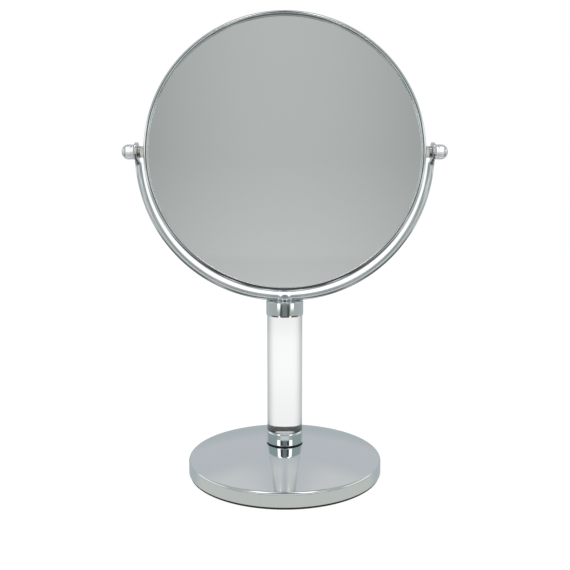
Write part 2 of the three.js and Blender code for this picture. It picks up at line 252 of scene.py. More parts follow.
def bare_material():
    """The unplated inside of the collar and the cap: pale and dull."""
    made, tree, shader = new_material("bare_metal", Metallic=0.35)
    tint = blend_colours(tree, noise(tree, 200, 4), (0.7, 0.71, 0.7), (0.8, 0.8, 0.78))
    set_surface(tree, shader, tint, remap(tree, noise(tree, 900, 4), 0.3, 0.7, 0.45, 0.65))
    add_bump(tree, shader, noise(tree, 1500, 4), 0.02 * MM, 0.5)
    return made


def crease_shade_material():
    """Painted shade: a dark material in the crease of the frame's lip stands in for the shadow
    there.
    """
    made, tree, shader = new_material("painted_crease_shade", Metallic=0.5)
    tint = blend_colours(tree, noise(tree, 300, 4), (0.09, 0.094, 0.094), (0.17, 0.172, 0.17))
    set_surface(tree, shader, tint, remap(tree, noise(tree, 900, 4), 0.3, 0.7, 0.4, 0.6))
    add_bump(tree, shader, noise(tree, 1500, 4), 0.02 * MM, 0.5)
    return made


def silver_material():
    """The silvering on the back of the glass."""
    made, tree, shader = new_material("mirror_silver", Metallic=1.0)
    cast = blend_colours(tree, noise(tree, 25, 2), (0.925, 0.94, 0.935), (0.935, 0.945, 0.945))
    set_surface(tree, shader, cast, remap(tree, noise(tree, 90, 3), 0.3, 0.7, 0.004, 0.012))
    return made


def glass_material():
    """Float glass over the silvering, very slightly green, with a trace of dust."""
    made, tree, shader = new_material("mirror_glass", Transmission_Weight=1.0, IOR=1.52)
    tint = blend_colours(tree, noise(tree, 15, 2), (0.985, 0.995, 0.99), (0.99, 0.997, 0.994))
    set_surface(tree, shader, tint, remap(tree, noise(tree, 500, 6), 0.55, 0.8, 0.0, 0.015))
    return made


def acrylic_material():
    made, tree, shader = new_material("clear_acrylic", Transmission_Weight=1.0, IOR=1.49)
    tint = blend_colours(tree, noise(tree, 30, 2), (0.985, 0.993, 0.99), (0.99, 0.995, 0.993))
    set_surface(tree, shader, tint, remap(tree, noise(tree, 300, 4), 0.4, 0.8, 0.0, 0.02))
    return made


def rubber_material():
    made, tree, shader = new_material("black_rubber", Specular_IOR_Level=0.35)
    tint = blend_colours(tree, noise(tree, 400, 6), (0.012, 0.012, 0.012), (0.03, 0.03, 0.031))
    set_surface(tree, shader, tint, remap(tree, noise(tree, 1500, 5), 0.3, 0.7, 0.6, 0.85))
    add_bump(tree, shader, noise(tree, 4000, 6), 0.03 * MM, 0.6)
    return made


def iron_material():
    made, tree, shader = new_material("cast_iron", Metallic=0.6)
    tint = blend_colours(tree, noise(tree, 200, 8), (0.03, 0.03, 0.032), (0.11, 0.105, 0.1))
    set_surface(tree, shader, tint, remap(tree, noise(tree, 700, 6), 0.3, 0.7, 0.55, 0.85))
    add_bump(tree, shader, noise(tree, 900, 8), 0.25 * MM, 0.8)
    return made


def steel_material():
    """Plated steel with the fine rings that turning leaves."""
    made, tree, shader = new_material("plated_steel", Metallic=1.0)
    tint = blend_colours(tree, noise(tree, 500, 3), (0.52, 0.52, 0.5), (0.66, 0.65, 0.62))
    set_surface(tree, shader, tint, remap(tree, noise(tree, 1800, 4), 0.3, 0.7, 0.16, 0.34))
    add_bump(tree, shader, noise(tree, 2500, 2, stretch=(1, 0.05, 0.05)), 0.01 * MM, 0.5)
    return made


def brass_material():
    """Brass under thin nickel plate."""
    made, tree, shader = new_material("brass", Metallic=1.0)
    tint = blend_colours(tree, noise(tree, 350, 5), (0.72, 0.68, 0.58), (0.84, 0.81, 0.74))
    set_surface(tree, shader, tint, remap(tree, noise(tree, 1200, 4), 0.3, 0.7, 0.2, 0.4))
    add_bump(tree, shader, noise(tree, 3000, 3, stretch=(0.05, 0.05, 1)), 0.01 * MM, 0.5)
    return made


def nylon_material():
    made, tree, shader = new_material("nylon", Specular_IOR_Level=0.4)
    tint = blend_colours(tree, noise(tree, 300, 3), (0.78, 0.77, 0.7), (0.86, 0.85, 0.79))
    set_surface(tree, shader, tint, remap(tree, noise(tree, 900, 3), 0.3, 0.7, 0.35, 0.55))
    add_bump(tree, shader, noise(tree, 2500, 4), 0.01 * MM, 0.4)
    return made


def plastic_material():
    made, tree, shader = new_material("black_plastic", IOR=1.5)
    tint = blend_colours(tree, noise(tree, 200, 3), (0.02, 0.02, 0.022), (0.035, 0.035, 0.037))
    set_surface(tree, shader, tint, remap(tree, noise(tree, 1500, 4), 0.3, 0.7, 0.4, 0.6))
    add_bump(tree, shader, noise(tree, 3500, 3), 0.02 * MM, 0.5)
    return made


def foam_material():
    """Closed-cell foam: small round cells over a soft mottling."""
    made, tree, shader = new_material("foam", Specular_IOR_Level=0.2)
    cells = add_node(tree, "TexVoronoi", {"Scale": 900.0}).outputs["Distance"]
    tint = blend_colours(tree, noise(tree, 120, 4), (0.6, 0.6, 0.56), (0.74, 0.74, 0.7))
    set_surface(tree, shader, tint, remap(tree, cells, 0, 0.8, 0.8, 1.0))
    add_bump(tree, shader, cells, 0.15 * MM, 0.7)
    return made


MATERIALS = {
    "chrome": chrome_material(),
    "mirror_silver": silver_material(),
    "clear_acrylic": acrylic_material(),
    "black_rubber": rubber_material(),
    "cast_iron": iron_material(),
    "plated_steel": steel_material(),
    "brass": brass_material(),
    "nylon": nylon_material(),
    "black_plastic": plastic_material(),
    "foam": foam_material(),
}
GLASS = glass_material()
SATIN = satin_material()
BARE = bare_material()
# painted shade for the crease of the frame's lip
CREASE_SHADE = crease_shade_material()

# ---------- mesh helpers ----------


def bridge(bm, first, second):
    """Faces between two rings of vertices. A ring of one vertex is a pole."""
    count = max(len(first), len(second))
    for i in range(count):
        j = (i + 1) % count
        around = ((first, i), (first, j), (second, j), (second, i))
        corners = [ring[k % len(ring)] for ring, k in around]
        bm.faces.new(list(dict.fromkeys(corners)))


def to_object(name, bm):
    bmesh.ops.recalc_face_normals(bm, faces=bm.faces)
    mesh = bpy.data.meshes.new(name)
    bm.to_mesh(mesh)
    bm.free()
    made = bpy.data.objects.new(name, mesh)
    bpy.context.scene.collection.objects.link(made)
    return made


def surface(name, rings, joined_ends):
    """A closed mesh through rings of points: its ends are joined to each other, or capped."""
    bm = bmesh.new()
    loops = [[bm.verts.new(point) for point in ring] for ring in rings]
    for first, second in zip(loops, loops[1:]):
        bridge(bm, first, second)
    if joined_ends:
        bridge(bm, loops[-1], loops[0])
    else:
        for loop in (loops[0], loops[-1]):
            if len(loop) > 1:
                bm.faces.new(loop)
    return to_object(name, bm)


def circle(radius, z, facets, relief):
    """Points round Z. relief gives what to add to the radius at an angle and a height."""
    if radius < ON_AXIS:
        return [(0, 0, z)]
    points = []
    for i in range(facets):
        angle = 2 * pi * i / facets
        grown = radius + (relief(angle, z) if relief else 0)
        points.append((grown * cos(angle), grown * sin(angle), z))
    return points


def lathe(name, outline, facets, relief=None):
    """Revolves (radius, height) points. An outline with an end on the axis is open there."""
    rings = [circle(radius, z, facets, relief) for radius, z in outline]
    return surface(name, rings, joined_ends=len(rings[0]) > 1)


def arc(centre, radius, start, end, steps):
    """Points of an arc, with its angles in radians."""
    angles = [start + (end - start) * i / steps for i in range(steps + 1)]
    return [(centre[0] + radius * cos(a), centre[1] + radius * sin(a)) for a in angles]


def rounded(corners, steps=5):
    """An outline through corners (x, y) or (x, y, fillet), with each fillet as an arc."""
    points = []
    for i, (x, y, *fillet) in enumerate(corners):
        here = Vector((x, y))
        if not fillet:
            points.append((x, y))
            continue
        back = (Vector(corners[i - 1][:2]) - here).normalized()
        ahead = (Vector(corners[(i + 1) % len(corners)][:2]) - here).normalized()
        half = back.angle(ahead) / 2
        centre = here + (back + ahead).normalized() * fillet[0] / sin(half)
        first = here + back * fillet[0] / tan(half) - centre
        last = here + ahead * fillet[0] / tan(half) - centre
        start = atan2(first.y, first.x)
        turn = (atan2(last.y, last.x) - start + pi) % (2 * pi) - pi
        points += arc(centre, fillet[0], start, start + turn, steps)
    return points


def ring_outline(inner, outer, bottom, top, fillet):
    """Section of a plain ring or, with inner 0, of a disc."""
    if inner == 0:
        return rounded([(0, bottom), (outer, bottom, fillet), (outer, top, fillet), (0, top)])
    corners = [(inner, bottom), (outer, bottom), (outer, top), (inner, top)]
    return rounded([(x, y, fillet) for x, y in corners])


def place(made, matrix):
    made.data.transform(matrix)
    return made


def combine(made, operation, tools):
    """Applies closed meshes to a piece, and deletes them."""
    for tool in tools:
        modifier = made.modifiers.new("combine", "BOOLEAN")
        modifier.object = tool
        modifier.operation = operation
        modifier.solver = "EXACT"
    graph = bpy.context.evaluated_depsgraph_get()
    result = bpy.data.meshes.new_from_object(made.evaluated_get(graph))
    made.modifiers.clear()
    made.data = result
    for tool in tools:
        bpy.data.objects.remove(tool)
    return made


def cut(made, *tools):
    return combine(made, "DIFFERENCE", tools)


def join(made, *others):
    return combine(made, "UNION", others)


def pin(radius, start, end, matrix=Matrix.Identity(4)):
    """A plain rod to cut a hole with."""
    return place(lathe("pin", ring_outline(0, radius, start, end, HAIR), SMALL), matrix)


def block(name, size, matrix, bevel=0.0):
    """A block round the matrix's origin."""
    bm = bmesh.new()
    bmesh.ops.create_cube(bm, size=1)
    bmesh.ops.scale(bm, vec=size, verts=bm.verts)
    if bevel:
        bmesh.ops.bevel(bm, geom=bm.edges[:], offset=bevel, segments=3, affect="EDGES")
    return place(to_object(name, bm), matrix)


def from_axis(point):
    return hypot(point.x, point.y)


def two_materials(made, main, other, is_other):
    """Gives the other material to the faces that is_other picks."""
    made.data.materials.append(main)
    made.data.materials.append(other)
    for polygon in made.data.polygons:
        polygon.material_index = 1 if is_other(polygon) else 0


def dress(made, node):
    """Gives a piece its node's body, and the material of the node's slot if it has none yet, and
    hides the node.
    """
    for polygon in made.data.polygons:
        polygon.use_smooth = True
    made.data.set_sharp_from_angle(angle=SHARP)
    normals = made.modifiers.new("normals", "WEIGHTED_NORMAL")
    normals.keep_sharp = True
    if not made.data.materials:
        made.data.materials.append(MATERIALS[SLOT_OF[node]])
    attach(made, BODY_OF[node])
    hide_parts(node)
    return made


# ---------- base ----------


def dome_height(radius, depth):
    """Height of the cover's dome at a radius, that deep below its outer skin."""
    seat_z = heights("base_cover")[1]
    centre = seat_z - sqrt(DOME_RADIUS ** 2 - SEAT_RADIUS ** 2)
    return centre + sqrt((DOME_RADIUS - depth) ** 2 - radius ** 2)


def cover_skin(depth):
    """From the hole, over the dome and round the edge, down to the rim."""
    steps = 72
    bottom, seat_z = heights("base_cover")
    outer = radius_of("base_cover")
    edge_x = outer - COVER_EDGE
    edge_z = dome_height(edge_x, COVER_EDGE)
    fall = asin(edge_x / (DOME_RADIUS - COVER_EDGE))
    points = [(BOLT_HOLE, seat_z - depth)]
    for i in range(steps + 1):
        x = SEAT_RADIUS + (edge_x + (COVER_EDGE - depth) * sin(fall) - SEAT_RADIUS) * i / steps
        points.append((x, dome_height(x, depth)))
    points += arc((edge_x, edge_z), COVER_EDGE - depth, pi / 2 - fall, 0, steps=12)[1:]
    return points + [(outer - depth, bottom + HEM)]


def base_cover():
    bottom, _ = heights("base_cover")
    outer = radius_of("base_cover")
    hem = [(outer - HEM, bottom), (outer - SHEET + HEM, bottom)]
    made = lathe("cover", cover_skin(0) + hem + cover_skin(SHEET)[::-1], ROUND)
    dress(made, "base_cover")


def base_pad():
    """Moulded pad with shallow grooves in its underside."""
    bottom, top = heights("base_pad")
    outer = radius_of("base_pad")
    groove, depth, count = 1.2 * MM, 0.35 * MM, 4
    outline = [(0, bottom)]
    for i in range(1, count + 1):
        x = outer * i / (count + 1)
        outline += [(x - groove, bottom), (x - groove / 2, bottom + depth)]
        outline += [(x + groove / 2, bottom + depth), (x + groove, bottom)]
    fillet = 0.3 * MM
    outline += arc((outer - fillet, bottom + fillet), fillet, -pi / 2, 0, steps=4)
    outline += arc((outer - fillet, top - fillet), fillet, 0, pi / 2, steps=4)
    dress(lathe("pad", outline + [(0, top)], ROUND), "base_pad")


def ballast_disc():
    """Casting with a boss for the bolt, and room for its head underneath."""
    bottom, top = heights("ballast_disc")
    outer = radius_of("ballast_disc")
    disc_top, boss, bore, draft = 8.6 * MM, 15 * MM, 7 * MM, 0.4 * MM
    bore_top = heights("base_bolt_washer")[1]
    outline = rounded([
        (bore, bottom),
        (outer, bottom, 0.6 * MM),
        (outer, disc_top, 1.5 * MM),
        (boss + draft, disc_top, 2 * MM),
        (boss, top, 0.8 * MM),
        (BOLT_HOLE, top),
        (BOLT_HOLE, bore_top),
        (bore, bore_top),
    ])
    dress(lathe("ballast", outline, ROUND), "ballast_disc")


def thread(radius, pitch, depth, start, end):
    """What a screw thread takes off the radius, at an angle and a height."""

    def relief(angle, z):
        turn = (z / pitch - angle / (2 * pi)) % 1
        fade = min(1, max(0, (z - start) / pitch), max(0, (end - z) / pitch))
        return -depth * fade * abs(2 * turn - 1) if start < z < end else 0

    return relief


def threaded(name, outline, start, end, radius, pitch):
    """A turned piece whose stretch from start to end carries a thread of that radius."""
    facets, steps_per_turn, depth = 48, 8, 0.35 * pitch
    steps = max(1, round((end - start) / pitch * steps_per_turn))
    rows = [(radius, start + (end - start) * i / steps) for i in range(steps + 1)]
    at = next(i for i, point in enumerate(outline) if point == "thread")
    whole = outline[:at] + rows + outline[at + 1 :]
    return lathe(name, whole, facets, thread(radius, pitch, depth, start, end))


def base_bolt():
    """Hexagon head, on a threaded shank."""
    low, top = heights("base_bolt")
    washer_low = heights("base_bolt_washer")[0]
    across, pitch = 8 * MM, 0.8 * MM
    chamfer, head_bevel, tip = 0.5 * MM, 0.1 * MM, 0.6 * MM
    facets = 72  # a multiple of six, so that every corner has a vertex

    def hexagon(radius, z):
        """The radius, held in by the six flats."""
        points = []
        for i in range(facets):
            angle = 2 * pi * i / facets
            flat = across / 2 / cos((angle + pi / 6) % (pi / 3) - pi / 6)
            points.append((min(radius, flat) * cos(angle), min(radius, flat) * sin(angle), z))
        return points

    corner = across / sqrt(3)
    rings = [[(0, 0, low)], hexagon(across / 2 - head_bevel, low), hexagon(corner, low + chamfer)]
    rings += [hexagon(corner, washer_low), [(0, 0, washer_low)]]
    head = surface("bolt", rings, joined_ends=False)
    root = washer_low - MM  # inside the head
    outline = [(0, root), "thread", (BOLT_RADIUS - tip, top), (0, top)]
    rod = threaded("rod", outline, root, top - tip, BOLT_RADIUS, pitch)
    dress(join(head, rod), "base_bolt")


def base_small_pieces():
    for node, name, fillet, facets in (
        ("base_bolt_washer", "bolt_washer", 0.15 * MM, SMALL),
        ("base_gasket", "gasket", 0.2 * MM, FINE),
    ):
        outline = ring_outline(BOLT_HOLE, radius_of(node), *heights(node), fillet)
        dress(lathe(name, outline, facets), node)


# ---------- column ----------


def cup(name, closed_z, open_z, hole, bevel_width):
    """A turned cup that holds one end of the rod, bevelled at its mouth."""
    up = 1 if open_z > closed_z else -1
    outer = radius_of(name)
    inside = closed_z + up * END_WALL
    outline = rounded([
        (hole, closed_z, 0.1 * MM),
        (outer, closed_z, 0.55 * MM),
        (outer, open_z - up * RIM_BEVEL, 0.4 * MM),
        (outer - bevel_width, open_z, 0.04 * MM),
        (SLEEVE_BORE, open_z, 0.04 * MM),
        (SLEEVE_BORE, inside, 0.3 * MM),
        (hole, inside, 0.1 * MM),
    ], steps=7)
    made = lathe(name + "_cup", outline, FINE * 2)

    def in_bore(polygon):
        middle = polygon.center
        past_wall = abs(middle.z - closed_z) > END_WALL / 2
        return past_wall and from_axis(middle) < SLEEVE_BORE + HAIR

    two_materials(made, MATERIALS["chrome"], BARE, in_bore)
    dress(made, name)


def acrylic_rod():
    bottom, top = heights("acrylic_column")
    outer = radius_of("acrylic_column")
    socket, depth, edge = 4.1 * MM, 5.3 * MM, 0.4 * MM
    outline = [(0, bottom + depth)]
    outline += rounded([
        (socket, bottom + depth),
        (socket, bottom),
        (outer, bottom, edge),
        (outer, top, edge),
        (socket, top),
        (socket, top - depth),
    ])
    outline += [(0, top - depth)]
    dress(lathe("rod", outline, FINE * 2), "acrylic_column")


def brass_insert(node, hole):
    """Knurled outside, with a plain collar at the mouth."""
    low, high = heights(node)
    outer = radius_of(node)
    teeth, depth, slant = 30, 0.12 * MM, 1500  # slant in radians per metre
    collar, bevel, rows = 0.8 * MM, 0.3 * MM, 28
    start, end = low + collar, high - collar

    def knurl(angle, z):
        if not start < z < end:
            return 0
        crossed = sin(teeth * angle + slant * z) * sin(teeth * angle - slant * z)
        return -depth * abs(crossed) ** 0.5

    wall = [(outer, start + (end - start) * i / rows) for i in range(rows + 1)]
    outline = [(hole, low), (outer - bevel, low), (outer, low + bevel), *wall]
    outline += [(outer, high - bevel), (outer - bevel, high), (hole, high)]
    dress(lathe(node + "_turned", outline, 6 * teeth, knurl), node)


# ---------- yoke ----------


def flattened(half_thick, half_wide, squareness):
    """Section of the wire: an ellipse at squareness 2, a slab with round edges above it."""
    count = 40
    points = []
    for i in range(count):
        angle = 2 * pi * i / count
        c, s = cos(angle), sin(angle)
        x = half_thick * abs(c) ** (2 / squareness) * (1 if c > 0 else -1)
        y = half_wide * abs(s) ** (2 / squareness) * (1 if s > 0 else -1)
        points.append((x, y))
    return points


def ease(value, low, high):
    t = min(1, max(0, (value - low) / (high - low)))
    return t * t * (3 - 2 * t)


def disc_width(radius, away):
    """Half width of a disc, that far from its middle."""
    return sqrt(max(radius ** 2 - away ** 2, 0))


def yoke_section(drop, along):
    """Half thickness, outward shift, half width and squareness, that far below the pivot and
    that far sideways from the middle."""
    pressed = 1 - ease(drop, *EYE_PRESSED)
    eye_half = (EYE_OUTER - EYE_INNER) / 2
    thick = WIRE_RADIUS + (eye_half - WIRE_RADIUS) * pressed
    shift = (EYE_INNER + eye_half - YOKE_HALF_WIDTH) * pressed
    wide = disc_width(EYE_RADIUS, drop)
    if drop > 0:
        shoulder = WIRE_RADIUS + SHOULDER_WIDTH * (1 - ease(drop, *EYE_SHOULDER))
        wide = max(wide, shoulder)
    seated = 1 - ease(along, *SEAT_PRESSED)
    square = 2 + EYE_SQUARENESS * pressed + SEAT_SQUARENESS * seated
    seat_half = YOKE_SEAT_THICK / 2
    thick += (seat_half - thick) * seated
    seat_middle = YOKE_DROP - (PIVOT_Z - heights("upper_cap")[1]) + seat_half
    shift -= (seat_middle + shift) * seated
    wide = max(wide, disc_width(YOKE_SEAT_RADIUS, along))
    return thick, shift, wide, square


def yoke_line(turn):
    """A point of the wire's centre line below the pivot axis, and the way out from it."""
    power = 2 / YOKE_SQUARENESS
    across, down = max(cos(turn), 0), max(sin(turn), 0)
    x, z = YOKE_HALF_WIDTH * across ** power, -YOKE_DROP * down ** power
    slope = power * (YOKE_SQUARENESS - 1)
    out = Vector((across ** slope / YOKE_HALF_WIDTH, -(down ** slope) / YOKE_DROP)).normalized()
    return x, z, out


def yoke_rings():
    """Rings of points from the top of the right eye, down and round, to the top of the left."""
    eye_steps, bow_steps = 28, 150
    top = 0.9995  # share of the eye's radius where the rings start, so that the first has a size
    stations = []
    for i in range(eye_steps):
        rise = EYE_RADIUS * min(cos(pi / 2 * i / eye_steps), top)
        stations.append((YOKE_HALF_WIDTH, rise, Vector((1, 0))))
    stations += [yoke_line(pi / 2 * i / bow_steps) for i in range(bow_steps + 1)]
    seat_z = heights("upper_cap")[1]
    right = []
    for x, z, out in stations:
        thick, shift, wide, square = yoke_section(-z, x)
        ring = []
        for depth, width in flattened(thick, wide, square):
            away = shift + depth
            height = max(PIVOT_Z + z + out.y * away, seat_z)
            ring.append((x + out.x * away, width, height))
        right.append(ring)
    left = [[(-x, y, z) for x, y, z in ring] for ring in right[-2::-1]]
    return right + left


def yoke():
    made = surface("yoke_wire", yoke_rings(), joined_ends=False)
    seat_z = heights("upper_cap")[1]
    across = Matrix.Translation((0, 0, PIVOT_Z)) @ Matrix.Rotation(pi / 2, 4, "Y")
    tools = [
        pin(SCREW_HOLE, seat_z - PAST, seat_z + YOKE_SEAT_THICK + PAST),
        pin(SCREW_HOLE, EYE_INNER - PAST, EYE_OUTER + PAST, across),
        pin(SCREW_HOLE, -EYE_OUTER - PAST, -EYE_INNER + PAST, across),
    ]
    dress(cut(made, *tools), "yoke")


def yoke_screw():
    """Domed head with a cross recess, on a threaded shank."""
    bottom, top = heights("yoke_screw")
    head, height, rim = 2.8 * MM, 1.8 * MM, 0.15 * MM
    tip, run_out = 0.5 * MM, 0.4 * MM
    recess = (3.1 * MM, 0.75 * MM, 2 * MM)
    seat = top - height
    sphere = (head ** 2 + height ** 2) / (2 * height)
    centre = top - sphere
    start = asin((seat + rim - centre) / sphere)
    dome = arc((0, centre), sphere, start, pi / 2, steps=16)[:-1]
    outline = [(0, bottom), (SCREW_RADIUS - tip, bottom), "thread", (SCREW_RADIUS, seat)]
    outline += [(dome[0][0], seat), *dome, (0, top)]
    made = threaded(
        "domed_screw", outline, bottom + run_out, seat - run_out, SCREW_RADIUS, SCREW_PITCH
    )
    at_top = Matrix.Translation((0, 0, top))
    turns = [Matrix.Rotation(turn, 4, "Z") for turn in (0, pi / 2)]
    dress(cut(made, *[block("slot", recess, at_top @ turn) for turn in turns]), "yoke_screw")


# ---------- mirror head ----------

FRAME_RADIUS = radius_of("front_frame_shell")
GLASS_RADIUS = radius_of("front_glass")
FACE = FRAME_DEPTH / 2
GLASS_FACE = FACE - GLASS_RECESS


def shell_outline(tongue):
    """One pressed shell's section, from its seam over the rounded edge to the lip and back."""
    wall = FRAME_RADIUS - SHEET
    lip = FRAME_RADIUS - LIP_WIDTH
    bend = (FRAME_RADIUS - FRAME_EDGE, FACE - FRAME_EDGE)
    hem = SHEET / 2
    to_crease, from_crease, from_hem = radians(71), radians(51), radians(86)
    outline = [(FRAME_RADIUS - HEM, SEAM / 2), (FRAME_RADIUS, SEAM / 2 + HEM)]
    outline += arc(bend, FRAME_EDGE, 0, to_crease, steps=12)
    outline += [(FRAME_RADIUS - CREASE_IN, FACE - CREASE_DEPTH)]
    outline += arc((lip + hem, FACE - hem), hem, from_crease, 3 * pi / 2, steps=10)
    outline += arc(bend, FRAME_EDGE - SHEET, from_hem, 0, steps=8)
    if not tongue:
        return outline + [(wall, SEAM / 2)]
    outer, inner = wall - TOUCH, wall - TOUCH - 0.6 * MM
    step, root, end = 1.8 * MM, 1.2 * MM, -2.5 * MM
    outline += [(wall, step), (inner, root), (inner, end), (outer, end)]
    return outline + [(outer, SEAM / 2)]


# Faces in the crease of the lip, which get the painted shade.
def in_crease_shade(polygon):
    middle = polygon.center
    away = abs(from_axis(middle) - (FRAME_RADIUS - CREASE_IN))
    return away < CREASE_DEPTH / 2 and middle.z > FACE - CREASE_DEPTH


def frame_shells():
    for node, matrix, tongue in (
        ("front_frame_shell", FRONT, False),
        ("rear_frame_shell", REAR, True),
    ):
        made = lathe(node + "_pressed", shell_outline(tongue), ROUND)
        # the crease of the lip gets painted shade instead of chrome
        two_materials(made, MATERIALS["chrome"], CREASE_SHADE, in_crease_shade)
        place(made, matrix)
        start, end = FRAME_RADIUS - PAST, FRAME_RADIUS + PAST
        holes = [pin(WALL_HOLE, start, end, outwards(side)) for side in SIDES]
        dress(cut(made, *holes), node)


def front_glass():
    """Flat glass, silvered on its back."""
    front, back = GLASS_FACE, GLASS_FACE - GLASS_THICK
    outline = ring_outline(0, GLASS_RADIUS, back, front, 0.25 * MM)
    made = lathe("flat_glass", outline, ROUND)
    silver = MATERIALS["mirror_silver"]
    two_materials(made, GLASS, silver, lambda polygon: polygon.center.z < back + HAIR)
    dress(place(made, FRONT), "front_glass")


def dish_height(radius):
    """Height of the hollow face of the dished glass, out from the middle of the head."""

    def sag(x):
        return DISH_RADIUS - sqrt(DISH_RADIUS ** 2 - x ** 2)

    return GLASS_FACE - sag(GLASS_RADIUS) + sag(radius)


def dish_back(radius):
    """Height of its back."""
    return dish_height(radius) - GLASS_THICK


def rear_glass():
    """Dished glass, silvered on its back, which is the face that looks inwards."""
    steps = 60
    radii = [(GLASS_RADIUS - GLASS_EDGE) * i / steps for i in range(steps + 1)]
    hollow = [(r, dish_height(r)) for r in radii]
    back = [(r, dish_back(r)) for r in radii]
    edge = [(GLASS_RADIUS, dish_back(GLASS_RADIUS) + GLASS_EDGE)]
    edge += [(GLASS_RADIUS, dish_height(GLASS_RADIUS) - GLASS_EDGE)]
    made = lathe("dished_glass", back + edge + hollow[::-1], ROUND)
    back_facing = -0.8  # the chamfers' normals are flatter than this
    silver = MATERIALS["mirror_silver"]
    two_materials(made, GLASS, silver, lambda polygon: polygon.normal.z < back_facing)
    dress(place(made, REAR), "rear_glass")


def backing_disc():
    """Foam that fills the space between the glasses."""
    outer = radius_of("backing_disc")
    flat = GLASS_FACE - GLASS_THICK - TOUCH
    steps, bevel = 24, 0.5 * MM
    radii = [(outer - bevel) * i / steps for i in range(steps + 1)]
    dished = [(r, TOUCH - dish_back(r)) for r in radii]
    edge = [(outer, dished[-1][1] + bevel), (outer, flat - bevel), (outer - bevel, flat)]
    made = lathe("foam_disc", dished + edge + [(0, flat)], ROUND)
    dress(place(made, FRONT), "backing_disc")


def carrier_ring():
    """Moulded ring that spaces the glasses, with a pocket for each nut."""
    inner, outer, fillet = 80 * MM, 87 * MM, 0.4 * MM
    pocket = (7 * MM, 10 * MM, 10 * MM)
    flat = GLASS_FACE - GLASS_THICK - TOUCH
    corners = [(radius, TOUCH - dish_back(radius)) for radius in (inner, outer)]
    corners += [(outer, flat), (inner, flat)]
    outline = rounded([(x, y, fillet) for x, y in corners])
    made = place(lathe("moulded_ring", outline, ROUND), FRONT)
    tools = []
    for side in SIDES:
        nut_inner, _ = reach(side + "_pivot_nut")
        tools.append(pin(SCREW_RADIUS + TOUCH, inner - PAST, nut_inner, outwards(side)))
        middle = Matrix.Translation((0, 0, nut_inner - TOUCH + pocket[2] / 2))
        tools.append(block("pocket", pocket, outwards(side) @ middle))
    dress(cut(made, *tools), "carrier_ring")


# ---------- pivots ----------


def pivot_nut(side):
    node = side + "_pivot_nut"
    inner, outer = reach(node)
    width, bevel = 6.4 * MM, 0.35 * MM
    middle = Matrix.Translation((0, 0, (inner + outer) / 2))
    size = (width, width, outer - inner)
    made = block(side + "_square_nut", size, outwards(side) @ middle, bevel)
    bore = pin(SCREW_HOLE, inner - PAST, outer + PAST, outwards(side))
    dress(cut(made, bore), node)


def washers(side):
    for node, outer, fillet in (
        ("_nylon_washer", SPACER_RADIUS, 0.25 * MM),
        ("_spacer", SPACER_RADIUS, 0.12 * MM),
        ("_outer_washer", OUTER_WASHER_RADIUS, 0.08 * MM),
    ):
        low, high = reach(side + node)
        outline = ring_outline(SCREW_HOLE, outer, low, high, fillet)
        made = place(lathe(side + node + "_ring", outline, SMALL), outwards(side))
        dress(made, side + node)


def pivot_screw(side):
    node = side + "_pivot_screw"
    low, high = reach(node)
    tip, run_out, plain = 0.6 * MM, 0.5 * MM, 3 * MM
    outline = [(0, low), (SCREW_RADIUS - tip, low), "thread", (SCREW_RADIUS, high), (0, high)]
    start, end = low + run_out, high - plain
    made = threaded(side + "_stud", outline, start, end, SCREW_RADIUS, SCREW_PITCH)
    dress(place(made, outwards(side)), node)


def knob(side):
    """Smooth domed thumb knob with a rim and a groove next to the yoke."""
    node = side + "_knob"
    low, high = reach(node)
    bore_end = low + 3.8 * MM
    groove = low + KNOB_FLANGE
    dome_z = high - KNOB_DOME
    edge, corner, mouth = 0.18 * MM, 0.12 * MM, 0.15 * MM
    outline = [(0, bore_end)]
    outline += rounded([
        (SCREW_HOLE, bore_end),
        (SCREW_HOLE, low, mouth),
        (KNOB_RADIUS, low, edge),
        (KNOB_RADIUS, groove, edge),
        (KNOB_RADIUS - GROOVE, groove, corner),
        (KNOB_RADIUS - GROOVE, groove + GROOVE, corner),
        (KNOB_RADIUS, groove + GROOVE, edge),
        (KNOB_RADIUS, dome_z),
    ])
    dome = arc((0, 0), 1, 0, pi / 2, steps=24)[1:-1]
    outline += [(KNOB_RADIUS * x, dome_z + KNOB_DOME * y) for x, y in dome] + [(0, high)]
    made = place(lathe(side + "_thumb_knob", outline, SMALL * 2), outwards(side))
    made.data.materials.append(SATIN)
    return dress(made, node)


# ---------- studio ----------


def window(tree, value, low, high, soft):
    """1 between low and high, falling smoothly to 0 over twice the softness at each end."""
    rise = remap(tree, value, low - soft, low + soft, 0.0, 1.0, smooth=True)
    fall = remap(tree, value, high - soft, high + soft, 1.0, 0.0, smooth=True)
    return math_node(tree, "MULTIPLY", rise, fall)


